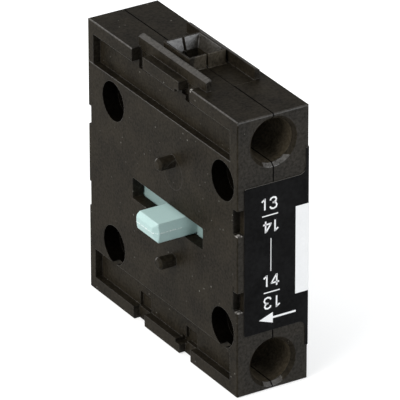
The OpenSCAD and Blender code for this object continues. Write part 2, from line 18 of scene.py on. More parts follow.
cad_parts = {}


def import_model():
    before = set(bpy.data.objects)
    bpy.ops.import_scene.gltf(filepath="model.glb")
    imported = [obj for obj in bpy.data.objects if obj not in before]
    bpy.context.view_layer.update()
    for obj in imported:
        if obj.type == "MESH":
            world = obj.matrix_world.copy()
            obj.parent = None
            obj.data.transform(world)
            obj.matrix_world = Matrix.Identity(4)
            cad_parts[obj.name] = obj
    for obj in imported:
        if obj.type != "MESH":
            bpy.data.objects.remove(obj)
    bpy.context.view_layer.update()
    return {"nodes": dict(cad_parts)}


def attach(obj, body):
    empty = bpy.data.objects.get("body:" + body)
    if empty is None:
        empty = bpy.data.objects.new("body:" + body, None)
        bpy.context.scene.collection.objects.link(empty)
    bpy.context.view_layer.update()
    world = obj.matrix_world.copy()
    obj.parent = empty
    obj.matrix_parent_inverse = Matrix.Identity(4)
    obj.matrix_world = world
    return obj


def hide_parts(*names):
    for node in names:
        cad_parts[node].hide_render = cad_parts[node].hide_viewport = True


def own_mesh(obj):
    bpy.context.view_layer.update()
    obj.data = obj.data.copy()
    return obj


LOG = logging.getLogger("contact_block")
MM = 0.001
# Height of the middle of the housing above the middle of its fixing sockets
MID_Z = 0.4 * MM
# Points closer than this are one
MERGE = 1e-7
# Cosine above which a face is flat, and those at which an edge and a slope show in full
FLAT, FULL_EDGE, FULL_SLOPE = 0.985, 0.8, 0.95
# How far a face turns to an axis when it starts to face it, and when it does in full
FACING = (0.7, 0.95)
# Spans of a noise pattern: nearly all of it, its body and its sharp middle
WIDE, BODY, SHARP = (0.3, 0.7), (0.35, 0.65), (0.42, 0.58)

Colour = tuple[float, float, float]
Place = tuple[float, float, float]


class Slot(Enum):
    """Material slots of the record."""

    HOUSING = "housing_plastic"
    SLIDER = "slider_plastic"
    BRASS = "contact_brass"
    SILVER = "contact_silver"
    ZINC = "zinc_steel"
    SPRING = "spring_steel"
    FILM = "label_film"
    WHITE = "label_white"


class Body(Enum):
    """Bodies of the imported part."""

    HOUSING = "housing"
    SLIDER = "slider"
    UPPER_SCREW = "upper_screw"
    LOWER_SCREW = "lower_screw"


class NodeSheet:
    """Adds and links nodes in one node tree."""

    def __init__(self, tree: bpy.types.NodeTree) -> None:
        """Keeps the tree that nodes are added to.

        Args:
            tree: The node tree of a material or a group.
        """
        self.tree = tree

    def add(self, kind: str, inputs: dict | None = None, **settings: object) -> bpy.types.Node:
        """Adds one node.

        Args:
            kind: The node's type name.
            inputs: Socket name or number to a value, or to an output socket to link from.
            settings: Properties of the node.

        Returns:
            The new node.
        """
        node = self.tree.nodes.new(kind)
        for name, value in settings.items():
            setattr(node, name, value)
        for key, value in (inputs or {}).items():
            if isinstance(value, bpy.types.NodeSocket):
                self.tree.links.new(value, node.inputs[key])
            else:
                node.inputs[key].default_value = value
        return node

    def math(self, operation: str, *values: object) -> bpy.types.NodeSocket:
        """Adds a Math node.

        Args:
            operation: Its operation.
            values: Numbers or output sockets, in order.

        Returns:
            Its output socket.
        """
        return self.add("ShaderNodeMath", dict(enumerate(values)), operation=operation).outputs[0]

    def vector(self, operation: str, *values: object) -> bpy.types.NodeSocket:
        """Adds a Vector Math node.

        Args:
            operation: Its operation.
            values: Vectors or output sockets, in order.

        Returns:
            The output socket that the operation fills.
        """
        node = self.add("ShaderNodeVectorMath", dict(enumerate(values)), operation=operation)
        number = operation in ("DISTANCE", "DOT_PRODUCT", "LENGTH")
        return node.outputs["Value" if number else "Vector"]

    def scaled(self, vector: object, share: object) -> bpy.types.NodeSocket:
        """Scales a vector or a colour by a number or a socket."""
        return self.add("ShaderNodeVectorMath", {0: vector, "Scale": share},
                        operation="SCALE").outputs["Vector"]

    def group(self, tree: bpy.types.NodeTree, **inputs: object) -> object:
        """Places a shared node group and returns its outputs."""
        return self.add("ShaderNodeGroup", inputs, node_tree=tree).outputs

    def blend(self, factor: object, first: object, second: object) -> bpy.types.NodeSocket:
        """Mixes two colours.

        Args:
            factor: Number or socket, 0 for the first colour.
            first: Colour or socket.
            second: Colour or socket.

        Returns:
            The mixed colour's socket.
        """
        inputs = {0: factor, 6: _rgba(first), 7: _rgba(second)}
        return self.add("ShaderNodeMix", inputs, data_type="RGBA").outputs[2]

    def ramp(self, value: object, low: float, high: float, start: float = 0.0,
             end: float = 1.0) -> bpy.types.NodeSocket:
        """Maps a value from one range to another, held at both ends.

        Args:
            value: The value's socket.
            low: Where the first range starts.
            high: Where the first range ends.
            start: Result at low.
            end: Result at high.

        Returns:
            The mapped value's socket.
        """
        inputs = {"Value": value, "From Min": low, "From Max": high, "To Min": start,
                  "To Max": end}
        return self.add("ShaderNodeMapRange", inputs, clamp=True).outputs["Result"]

    def widest(self, vector: object) -> bpy.types.NodeSocket:
        """Finds the largest part of a vector.

        Args:
            vector: The vector's socket.

        Returns:
            Socket of the largest size along X, Y or Z.
        """
        parts = self.add("ShaderNodeSeparateXYZ", {"Vector": self.vector("ABSOLUTE", vector)})
        first, second, third = parts.outputs
        return self.math("MAXIMUM", self.math("MAXIMUM", first, second), third)

    def inside(self, place: object, centre: Place, half: Place) -> bpy.types.NodeSocket:
        """Makes a mask of a box.

        Args:
            place: Socket of the place.
            centre: Middle of the box.
            half: Half its size on each axis.

        Returns:
            The mask's socket, 1 inside the box.
        """
        share = self.vector("DIVIDE", self.vector("SUBTRACT", place, centre), half)
        return self.math("LESS_THAN", self.widest(share), 1.0)


def _rgba(colour: object) -> object:
    """Returns a colour with full alpha, or a socket as it is."""
    return (*colour, 1.0) if isinstance(colour, tuple) and len(colour) == 3 else colour


class Effects:
    """Shader node groups that several finishes share, each built once."""

    def __init__(self) -> None:
        """Builds every group."""
        self.grain = self._grain()
        self.dust = self._dust()
        self.edges = self._edges()
        self.streaks = self._streaks()

    def _group(self, name: str, inputs: dict[str, tuple[str, float]],
               outputs: dict[str, str]) -> tuple[NodeSheet, bpy.types.Node, bpy.types.Node]:
        """Starts a node group.

        Args:
            name: Name of the group.
            inputs: Socket name to its kind and default value.
            outputs: Socket name to its kind.

        Returns:
            The group's sheet, its input node and its output node.
        """
        tree = bpy.data.node_groups.new(name, "ShaderNodeTree")
        for label, (kind, value) in inputs.items():
            socket = tree.interface.new_socket(label, in_out="INPUT", socket_type=kind)
            if kind == "NodeSocketFloat":
                socket.default_value = value
        for label, kind in outputs.items():
            tree.interface.new_socket(label, in_out="OUTPUT", socket_type=kind)
        sheet = NodeSheet(tree)
        return sheet, sheet.add("NodeGroupInput"), sheet.add("NodeGroupOutput")

    def _grain(self) -> bpy.types.NodeTree:
        """Builds the fine matt texture of a moulding tool and the broad tone of the flow.

        Returns:
            The group's tree.
        """
        sheet, given, out = self._group(
            "moulded_grain",
            {"Vector": ("NodeSocketVector", 0.0), "Scale": ("NodeSocketFloat", 5000.0)},
            {"Height": "NodeSocketFloat", "Tone": "NodeSocketFloat"},
        )
        where = given.outputs["Vector"]
        fine = sheet.add("ShaderNodeTexNoise", {
            "Vector": where, "Scale": given.outputs["Scale"], "Detail": 3.0, "Roughness": 0.62,
        })
        broad = sheet.add("ShaderNodeTexNoise", {
            "Vector": where, "Scale": 210.0, "Detail": 3.0, "Roughness": 0.55,
            "Distortion": 0.6,
        })
        flow = (0.32, 0.68)
        patch = sheet.ramp(broad.outputs["Fac"], *flow)
        mottle = sheet.ramp(fine.outputs["Fac"], *BODY)
        mixed = sheet.math("MULTIPLY_ADD", patch, 0.5, sheet.math("MULTIPLY", mottle, 0.5))
        sheet.tree.links.new(fine.outputs["Fac"], out.inputs["Height"])
        sheet.tree.links.new(mixed, out.inputs["Tone"])
        return sheet.tree

    def _dust(self) -> bpy.types.NodeTree:
        """Builds sparse pale specks of dust.

        Returns:
            The group's tree.
        """
        sheet, given, out = self._group(
            "dust_specks",
            {"Vector": ("NodeSocketVector", 0.0), "Scale": ("NodeSocketFloat", 900.0),
             "Share": ("NodeSocketFloat", 0.1)},
            {"Mask": "NodeSocketFloat"},
        )
        cells = sheet.add("ShaderNodeTexVoronoi", {
            "Vector": given.outputs["Vector"], "Scale": given.outputs["Scale"],
            "Randomness": 1.0,
        })
        parts = sheet.add("ShaderNodeSeparateColor", {"Color": cells.outputs["Color"]})
        chosen = sheet.math("LESS_THAN", parts.outputs[0], given.outputs["Share"])
        spread, smallest = 0.09, 0.04
        size = sheet.math("MULTIPLY_ADD", parts.outputs[1], spread, smallest)
        near = sheet.math("LESS_THAN", cells.outputs["Distance"], size)
        swing, faintest = 0.7, 0.3
        strength = sheet.math("MULTIPLY_ADD", parts.outputs[2], swing, faintest)
        mask = sheet.math("MULTIPLY", sheet.math("MULTIPLY", chosen, near), strength)
        sheet.tree.links.new(mask, out.inputs["Mask"])
        return sheet.tree

    def _edges(self) -> bpy.types.NodeTree:
        """Builds softly broken edges: a rounded normal, and a mask that is 1 on the edges.

        Returns:
            The group's tree.
        """
        sheet, given, out = self._group(
            "soft_edges",
            {"Radius": ("NodeSocketFloat", 0.15 * MM)},
            {"Normal": "NodeSocketVector", "Mask": "NodeSocketFloat"},
        )
        bevel = sheet.add("ShaderNodeBevel", {"Radius": given.outputs["Radius"]}, samples=6)
        surface = sheet.add("ShaderNodeNewGeometry")
        turn = sheet.vector("DOT_PRODUCT", bevel.outputs["Normal"], surface.outputs["Normal"])
        mask = sheet.ramp(turn, FLAT, FULL_EDGE)
        sheet.tree.links.new(bevel.outputs["Normal"], out.inputs["Normal"])
        sheet.tree.links.new(mask, out.inputs["Mask"])
        return sheet.tree

    def _streaks(self) -> bpy.types.NodeTree:
        """Builds long fine streaks of rolled or drawn metal, with patches of plating.

        Returns:
            The group's tree.
        """
        sheet, given, out = self._group(
            "metal_streaks",
            {"Vector": ("NodeSocketVector", 0.0), "Scale": ("NodeSocketFloat", 1500.0)},
            {"Height": "NodeSocketFloat", "Patch": "NodeSocketFloat"},
        )
        stretch = (1.0, 0.06, 1.0)
        long = sheet.vector("MULTIPLY", given.outputs["Vector"], stretch)
        fine = sheet.add("ShaderNodeTexNoise", {
            "Vector": long, "Scale": given.outputs["Scale"],
            "Detail": 4.0, "Roughness": 0.6,
        })
        broad = sheet.add("ShaderNodeTexNoise", {
            "Vector": given.outputs["Vector"], "Scale": 420.0, "Detail": 2.0,
        })
        sheet.tree.links.new(fine.outputs["Fac"], out.inputs["Height"])
        sheet.tree.links.new(broad.outputs["Fac"], out.inputs["Patch"])
        return sheet.tree


def start_material(name: str) -> tuple[bpy.types.Material, NodeSheet, bpy.types.Node]:
    """Makes a material whose tree holds an output and a Principled shader.

    Args:
        name: Name of the material.

    Returns:
        The material, its sheet and the Principled node.
    """
    material = bpy.data.materials.new(name)
    material.use_nodes = True
    tree = material.node_tree
    tree.nodes.clear()
    sheet = NodeSheet(tree)
    shader = sheet.add("ShaderNodeBsdfPrincipled")
    sheet.add("ShaderNodeOutputMaterial", {"Surface": shader.outputs["BSDF"]})
    return material, sheet, shader


def link_surface(sheet: NodeSheet, shader: bpy.types.Node, colour: object, rough: object,
                 height: object, normal: object, depth: float) -> None:
    """Links a colour, a roughness and a fine relief to a shader.

    Args:
        sheet: The material's sheet.
        shader: The Principled node.
        colour: Socket of the colour.
        rough: Socket of the roughness.
        height: Socket of the relief's height.
        normal: Socket of the normal under the relief.
        depth: Depth of the relief.
    """
    bump = sheet.add("ShaderNodeBump", {
        "Height": height, "Normal": normal, "Strength": 1.0, "Distance": depth,
    })
    for socket, source in {"Base Color": colour, "Roughness": rough,
                           "Normal": bump.outputs["Normal"]}.items():
        sheet.tree.links.new(source, shader.inputs[socket])


@dataclass(frozen=True)
class Zone:
    """Box, in millimetres, in which a moulding is polished or carries painted highlights."""

    centre: Place
    half: Place
    share: float = 1.0


@dataclass(frozen=True)
class Ring:
    """Faint ring, in millimetres, that an ejector pin leaves on the mating face."""

    y: float
    z: float
    radius: float
    half: float = 0.03
    fade: float = 0.1


@dataclass(frozen=True)
class PaintedLightWell:
    """Round region, in millimetres, whose colour is scaled by tone: painted shade below 1 and
    painted light above 1; across is 1 on its round axes.
    """

    centre: Place
    across: Place
    radius: float
    half_depth: float
    tone: float
    soft: float = 0.02


@dataclass(frozen=True)
class Moulding:
    """Moulded plastic with tool grain, soft edges, polished slopes and a little dust, with
    painted light
    and shade: paler edges that are partly wear and partly painted highlight, painted highlights
    in small boxes, painted shade on faces that look up or to the front, and painted shade or
    painted light on the walls of some round holes.

    The boxes, the round holes with painted light, the rings and the seam are in millimetres.
    """

    name: str
    dark: Colour
    light: Colour
    # paler colour of the edges, partly wear and partly painted highlight; also the colour of the
    # ejector rings
    edge: Colour
    speck: Colour
    # colour of the painted highlights in the glint boxes, over a burr on the slider
    glint_burr_colour: Colour
    roughness: float
    roughness_swing: float
    grain_scale: float
    grain_depth: float
    edge_radius: float
    edge_share: float
    dust_share: float
    sheen: float
    gloss: float
    edge_gloss: float
    front_sheen: float = 0.0
    sparkle: float = 0.38
    polish_rough: float = 0.6
    # painted shade: colour shares on faces that look up and on faces that look to the front
    top_painted_shade: float = 1.0
    front_painted_shade: float = 1.0
    polished: tuple[Zone, ...] = ()
    flats: tuple[Zone, ...] = ()
    glints_and_burrs: tuple[Zone, ...] = ()
    painted_light_wells: tuple[PaintedLightWell, ...] = ()
    rings: tuple[Ring, ...] = ()
    ring_share: float = 0.3
    seam_at: float | None = None
    seam_half: float = 0.07
    seam_colour: Colour = (0.002, 0.002, 0.002)

    def _zones(self, sheet: NodeSheet, place: object, zones: tuple[Zone, ...]) -> object:
        """Makes the mask of several boxes.

        Args:
            sheet: The material's sheet.
            place: Socket of the place.
            zones: The boxes.

        Returns:
            The mask: a socket, or 0 where there are no boxes.
        """
        found: object = 0.0
        for zone in zones:
            held = sheet.math("MULTIPLY", sheet.inside(place, zone.centre, zone.half), zone.share)
            found = sheet.math("MAXIMUM", found, held)
        return found

    def _polish(self, sheet: NodeSheet, place: object, normal: object) -> object:
        """Makes the mask of the polished slopes and flats.

        Args:
            sheet: The material's sheet.
            place: Socket of the place.
            normal: Socket of the surface's direction.

        Returns:
            The mask: a socket, or 0 where nothing is polished.
        """
        if not self.polished:
            return 0.0
        slopes = sheet.math("MULTIPLY", sheet.ramp(sheet.widest(normal), FLAT, FULL_SLOPE),
                            self._zones(sheet, place, self.polished))
        return sheet.math("MAXIMUM", slopes, self._zones(sheet, place, self.flats))

    def _painted_light_tone(self, sheet: NodeSheet, place: object) -> object:
        """Makes the painted shade and painted light on the walls of the round holes.

        Args:
            sheet: The material's sheet.
            place: Socket of the place.

        Returns:
            The tone: a socket, 1 outside every hole, or 1 where there are none.
        """
        tone: object = 1.0
        for painted_well in self.painted_light_wells:
            away = sheet.vector("SUBTRACT", place, painted_well.centre)
            along = tuple(1.0 - share for share in painted_well.across)
            held = []
            for axes, limit in ((painted_well.across, painted_well.radius), (along, painted_well.half_depth)):
                size = sheet.vector("LENGTH", sheet.vector("MULTIPLY", away, axes))
                held.append(sheet.ramp(size, limit, limit - painted_well.soft))
            mask = sheet.math("MULTIPLY", *held)
            shade = sheet.math("MULTIPLY_ADD", mask, painted_well.tone - 1.0, 1.0)
            tone = sheet.math("MULTIPLY", tone, shade)
        return tone

    def _ring_mask(self, sheet: NodeSheet, place: object) -> object:
        """Makes the mask of the ejector rings.

        Args:
            sheet: The material's sheet.
            place: Socket of the place.

        Returns:
            The mask: a socket, or 0 where there are no rings.
        """
        found: object = 0.0
        for ring in self.rings:
            away = sheet.vector("DISTANCE", place, (0.0, ring.y, ring.z))
            off = sheet.math("ABSOLUTE", sheet.math("SUBTRACT", away, ring.radius))
            line = sheet.ramp(off, ring.half, ring.fade, 1.0, 0.0)
            found = sheet.math("MAXIMUM", found, line)
        return found

    def _seam(self, sheet: NodeSheet, place: object) -> object:
        """Makes the mask of the joint between the half shells.

        Args:
            sheet: The material's sheet.
            place: Socket of the place.

        Returns:
            The mask: a socket, or 0 where there is no joint.
        """
        if self.seam_at is None:
            return 0.0
        axes = sheet.add("ShaderNodeSeparateXYZ", {"Vector": place})
        away = sheet.math("ABSOLUTE", sheet.math("SUBTRACT", axes.outputs["X"], self.seam_at))
        return sheet.ramp(away, self.seam_half, 2 * self.seam_half, 1.0, 0.0)

    def material(self, effects: Effects) -> bpy.types.Material:
        """Builds the material.

        Args:
            effects: The shared node groups.

        Returns:
            The finished material.
        """
        material, sheet, shader = start_material(self.name)
        given = sheet.add("ShaderNodeTexCoord").outputs
        where, normal = given["Object"], given["Normal"]
        place = sheet.scaled(where, 1.0 / MM)
        grain = sheet.group(effects.grain, Vector=where, Scale=self.grain_scale)
        dust = sheet.group(effects.dust, Vector=where, Share=self.dust_share)
        edges = sheet.group(effects.edges, Radius=self.edge_radius)
        seam = self._seam(sheet, place)
        beside = sheet.math("SUBTRACT", 1.0, seam)
        edge = sheet.math("MULTIPLY", edges["Mask"], beside)

        # painted shade on faces that look up or to the front, and painted shade or painted light
        # on the walls of some round holes
        facing = sheet.add("ShaderNodeSeparateXYZ", {"Vector": normal}).outputs
        to_front = tuple(-turn for turn in FACING)
        tone = sheet.math("MULTIPLY", self._painted_light_tone(sheet, place),
                          sheet.ramp(facing["Z"], *FACING, 1.0, self.top_painted_shade))
        tone = sheet.math("MULTIPLY", tone,
                          sheet.ramp(facing["Y"], *to_front, 1.0, self.front_painted_shade))
        colour = sheet.scaled(sheet.blend(grain["Tone"], self.dark, self.light), tone)
        # paler edges: partly wear, partly painted highlight
        worn_and_lit_edge = sheet.math("MULTIPLY", edge, sheet.ramp(grain["Tone"], 0.2, 0.8, 0.4, 1.0))
        # painted highlights in the glint boxes
        glint_mask = sheet.math("MULTIPLY", self._zones(sheet, place, self.glints_and_burrs),
                          sheet.ramp(grain["Height"], *SHARP))
        for share, over in (
            (sheet.math("MULTIPLY", worn_and_lit_edge, self.edge_share), self.edge),
            (dust["Mask"], self.speck),
            (sheet.math("MULTIPLY", self._ring_mask(sheet, place), self.ring_share), self.edge),
            (glint_mask, self.glint_burr_colour),
            (seam, self.seam_colour),
        ):
            colour = sheet.blend(share, colour, over)

        # edges and polished slopes are glossier
        polish = sheet.math("MAXIMUM", sheet.math("MULTIPLY", edge, self.edge_gloss),
                            self._polish(sheet, place, normal))
        sheen = sheet.math("MAXIMUM", self.sheen,
                           sheet.ramp(facing["Y"], *to_front, 0.0, self.front_sheen))
        sheen = sheet.add("ShaderNodeMix", {0: polish, 2: sheen, 3: self.gloss},
                          data_type="FLOAT").outputs[0]
        sparkle = sheet.ramp(grain["Height"], *BODY, 1.0 - self.sparkle, 1.0 + self.sparkle)
        for share in (sheet.math("MINIMUM", tone, 1.0), sparkle, beside):
            sheen = sheet.math("MULTIPLY", sheen, share)
        sheet.tree.links.new(sheen, shader.inputs["Specular IOR Level"])
        rough = sheet.ramp(grain["Height"], *WIDE, self.roughness - self.roughness_swing,
                           self.roughness + self.roughness_swing)
        rough = sheet.math("MULTIPLY", rough,
                           sheet.ramp(polish, 0.0, 1.0, 1.0, self.polish_rough))
        link_surface(sheet, shader, colour, rough, grain["Height"], edges["Normal"],
                     self.grain_depth)
        return material


@dataclass(frozen=True)
class Plating:
    """Bare or plated metal with streaks from rolling or drawing."""

    name: str
    dark: Colour
    light: Colour
    roughness: float
    streak_scale: float
    streak_depth: float
    smoother: float = 0.08
    rougher: float = 0.1
    edge_radius: float = 0.08 * MM

    def material(self, effects: Effects) -> bpy.types.Material:
        """Builds the material.

        Args:
            effects: The shared node groups.

        Returns:
            The finished material.
        """
        material, sheet, shader = start_material(self.name)
        where = sheet.add("ShaderNodeTexCoord").outputs["Object"]
        streaks = sheet.group(effects.streaks, Vector=where, Scale=self.streak_scale)
        edges = sheet.group(effects.edges, Radius=self.edge_radius)
        colour = sheet.blend(sheet.ramp(streaks["Patch"], *WIDE), self.dark, self.light)
        rough = sheet.ramp(streaks["Height"], *WIDE, self.roughness - self.smoother,
                           self.roughness + self.rougher)
        shader.inputs["Metallic"].default_value = 1.0
        link_surface(sheet, shader, colour, rough, streaks["Height"], edges["Normal"],
                     self.streak_depth)
        return material


@dataclass(frozen=True)
class Print:
    """Printed film or ink: an even colour, a faint orange-peel surface and a paler cut edge."""

    name: str
    dark: Colour
    light: Colour
    edge: Colour
    roughness: float
    peel_scale: float
    peel_depth: float
    sheen: float
    smoother: float = 0.05
    rougher: float = 0.06
    edge_share: float = 0.3
    cut_rise: tuple[float, float] = (0.5, 0.8)
    edge_radius: float = 0.05 * MM

    def material(self, effects: Effects) -> bpy.types.Material:
        """Builds the material.

        Args:
            effects: The shared node groups.

        Returns:
            The finished material.
        """
        material, sheet, shader = start_material(self.name)
        given = sheet.add("ShaderNodeTexCoord").outputs
        grain = sheet.group(effects.grain, Vector=given["Object"], Scale=self.peel_scale)
        edges = sheet.group(effects.edges, Radius=self.edge_radius)
        rise = sheet.add("ShaderNodeSeparateXYZ", {"Vector": given["Normal"]}).outputs["Z"]
        cut = sheet.math("MAXIMUM", sheet.math("MULTIPLY", edges["Mask"], self.edge_share),
                         sheet.ramp(rise, *self.cut_rise))
        colour = sheet.blend(grain["Tone"], self.dark, self.light)
        colour = sheet.blend(cut, colour, self.edge)
        rough = sheet.ramp(grain["Height"], *WIDE, self.roughness - self.smoother,
                           self.roughness + self.rougher)
        shader.inputs["Specular IOR Level"].default_value = self.sheen
        link_surface(sheet, shader, colour, rough, grain["Height"], edges["Normal"],
                     self.peel_depth)
        return material


FINISHES: dict[Slot, Moulding | Plating | Print] = {
    Slot.HOUSING: Moulding(
        name="black_moulding", dark=(0.0072, 0.006, 0.0042), light=(0.0266, 0.0218, 0.0148),
        edge=(0.07, 0.067, 0.06), speck=(0.15, 0.145, 0.13), glint_burr_colour=(0.42, 0.4, 0.38),
        roughness=0.5, roughness_swing=0.07, grain_scale=2300.0, grain_depth=0.02 * MM,
        edge_radius=0.14 * MM, edge_share=0.24, dust_share=0.13, sheen=0.04, front_sheen=0.24,
        gloss=0.85, edge_gloss=0.28, top_painted_shade=0.7, front_painted_shade=0.68, seam_at=6.1,
        polished=(
            Zone((0.0, 1.6, 22.8), (0.5, 21.3, 0.4), 0.45),
            Zone((1.97, 1.0, 24.4), (0.6, 9.8, 0.9), 0.35),
            Zone((6.5, 3.0, 23.8), (3.4, 3.6, 1.3), 0.8),
            Zone((6.1, -19.6, 22.8), (6.5, 0.4, 0.4), 0.4),
            Zone((6.7, -19.3, 14.8), (2.2, 0.4, 0.8), 1.0),
            Zone((6.3, -19.3, -21.2), (1.6, 0.4, 0.9), 0.7),
            Zone((-2.65, -0.8, 9.6), (0.22, 0.5, 0.8), 0.6),
            Zone((-2.65, -0.8, -6.7), (0.22, 0.5, 0.8), 0.6),
        ),
        flats=(Zone((0.0, 2.45, 15.91), (0.12, 20.1, 0.08), 0.6),),
        # painted highlights on the floors of two front-edge notches and a dot on the top rim
        glints_and_burrs=(
            Zone((0.35, -19.25, 4.5), (0.5, 0.4, 0.16), 0.7),
            Zone((0.35, -19.25, -8.0), (0.5, 0.4, 0.16), 0.5),
            Zone((0.1, -6.45, 22.8), (0.3, 0.25, 0.3)),
        ),
        # painted shade in the four fixing sockets and in two thin strips by the front edge;
        # painted light on the walls of the screw bores and on the front wall of the chimney on
        # top
        painted_light_wells=(
            *(PaintedLightWell((2.1, y, z), (0.0, 1.0, 1.0), 3.18, 2.0, 0.15)
              for y in (-15.5, 15.5) for z in (-12.0, 12.0)),
            *(PaintedLightWell((6.1, -14.4, z), (1.0, 0.0, 1.0), 3.6, 4.6, 3.8) for z in (-17.6, 18.4)),
            *(PaintedLightWell((0.6, -18.45, z), (0.0, 1.0, 0.0), 0.15, 2.0, 0.4) for z in (-5.9, 6.6)),
            PaintedLightWell((6.6, -1.45, 23.7), (0.0, 1.0, 0.0), 0.15, 2.9, 3.6),
        ),
        rings=(Ring(-1.66, 7.35, 2.6),),
    ),
    Slot.SLIDER: Moulding(
        name="teal_moulding", dark=(0.43, 0.605, 0.59), light=(0.48, 0.665, 0.65),
        edge=(0.6, 0.74, 0.72), speck=(0.2, 0.26, 0.27), glint_burr_colour=(0.86, 0.93, 0.92),
        roughness=0.42, roughness_swing=0.05, grain_scale=5200.0, grain_depth=0.004 * MM,
        edge_radius=0.3 * MM, edge_share=0.4, dust_share=0.03, sheen=0.3, gloss=0.5,
        edge_gloss=1.0,
        # pale line along the tab's parting line: partly a burr, partly painted highlight
        glints_and_burrs=(Zone((-3.2, -2.4, 0.05), (2.6, 6.0, 0.09)),),
        # painted shade on the slider where it lies deep in the housing
        painted_light_wells=(PaintedLightWell((5.0, 0.0, 0.0), (0.0, 1.0, 1.0), 30.0, 6.0, 0.66, 2.2),),
    ),
    Slot.BRASS: Plating(
        name="rolled_brass", dark=(0.62, 0.42, 0.19), light=(0.78, 0.56, 0.28),
        roughness=0.3, streak_scale=2600.0, streak_depth=0.004 * MM,
    ),
    Slot.SILVER: Plating(
        name="contact_silver", dark=(0.74, 0.73, 0.7), light=(0.88, 0.87, 0.85),
        roughness=0.28, streak_scale=3600.0, streak_depth=0.002 * MM,
    ),
    Slot.ZINC: Plating(
        name="zinc_plate", dark=(0.52, 0.53, 0.55), light=(0.7, 0.71, 0.73),
        roughness=0.34, streak_scale=2200.0, streak_depth=0.004 * MM,
    ),
    Slot.SPRING: Plating(
        name="drawn_spring_wire", dark=(0.42, 0.43, 0.45), light=(0.6, 0.61, 0.63),
        roughness=0.3, streak_scale=3200.0, streak_depth=0.002 * MM,
    ),
    Slot.FILM: Print(
        name="black_film", dark=(0.0006, 0.0006, 0.0007), light=(0.0084, 0.0085, 0.0088),
        edge=(0.13, 0.125, 0.115), roughness=0.5, peel_scale=1800.0, peel_depth=0.01 * MM,
        sheen=0.04,
    ),
    Slot.WHITE: Print(
        name="white_ink", dark=(0.88, 0.88, 0.88), light=(0.93, 0.93, 0.93),
        edge=(0.93, 0.93, 0.93), roughness=0.55, peel_scale=3000.0, peel_depth=0.004 * MM,
        sheen=0.3,
    ),
}

# Strokes of the printed digits, in shares of half a digit's height
STROKES: dict[str, tuple[tuple[tuple[float, float], ...], ...]] = {
    "1": (((-0.56, 0.46), (0.0, 0.88)), ((0.0, 0.98), (0.0, -0.98))),
    "3": (((-0.58, 0.5), (-0.46, 0.8), (-0.06, 0.95), (0.34, 0.85), (0.5, 0.56), (0.38, 0.22),
           (0.06, 0.06), (-0.16, 0.06)),
          ((0.0, 0.06), (0.38, -0.03), (0.6, -0.42), (0.46, -0.8), (0.04, -0.95),
           (-0.4, -0.86), (-0.62, -0.52))),
    "4": (((0.3, -0.98), (0.3, 0.98)), ((0.26, 0.9), (-0.66, -0.42)),
          ((-0.76, -0.42), (0.74, -0.42))),
}


class Workshop:
    """Holds the materials and turns finished meshes into pieces of the object."""

    def __init__(self, nodes: dict[str, bpy.types.Object]) -> None:
        """Builds every material.

        Args:
            nodes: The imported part's nodes.
        """
        effects = Effects()
        self.nodes = nodes
        self.materials = {slot: finish.material(effects) for slot, finish in FINISHES.items()}

    def dress(self, slot: Slot, *names: str) -> None:
        """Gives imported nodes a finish.

        Args:
            slot: The finish's slot.
            names: The nodes.
        """
        for name in names:
            node = self.nodes[name]
            if not node.material_slots:
                node.data.materials.append(self.materials[slot])
            for held in node.material_slots:
                held.material = self.materials[slot]
            LOG.info("dressed %s as %s", name, slot.value)

    def piece(self, name: str, mesh: bmesh.types.BMesh, slot: Slot, body: Body,
              smooth_angle: float = 35.0) -> bpy.types.Object:
        """Makes a piece from a mesh that is already in place.

        Args:
            name: Name of the piece.
            mesh: Its mesh, which is freed.
            slot: Its finish.
            body: The body that it rides on.
            smooth_angle: Edges sharper than this stay sharp, in degrees.

        Returns:
            The new object.
        """
        bmesh.ops.remove_doubles(mesh, verts=mesh.verts, dist=MERGE)
        bmesh.ops.recalc_face_normals(mesh, faces=mesh.faces)
        data = bpy.data.meshes.new(name)
        mesh.to_mesh(data)
        mesh.free()
        for polygon in data.polygons:
            polygon.use_smooth = True
        data.set_sharp_from_angle(angle=math.radians(smooth_angle))
        data.materials.append(self.materials[slot])
        made = bpy.data.objects.new(name, data)
        bpy.context.scene.collection.objects.link(made)
        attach(made, body.value)
        LOG.info("built %s, %d faces, on %s", name, len(data.polygons), body.value)
        return made


@dataclass
class Housing:
    """The two moulded half shells."""

    def build(self, shop: Workshop) -> None:
        """Dresses both shells."""
        shop.dress(Slot.HOUSING, "mating_shell", "cover_shell")


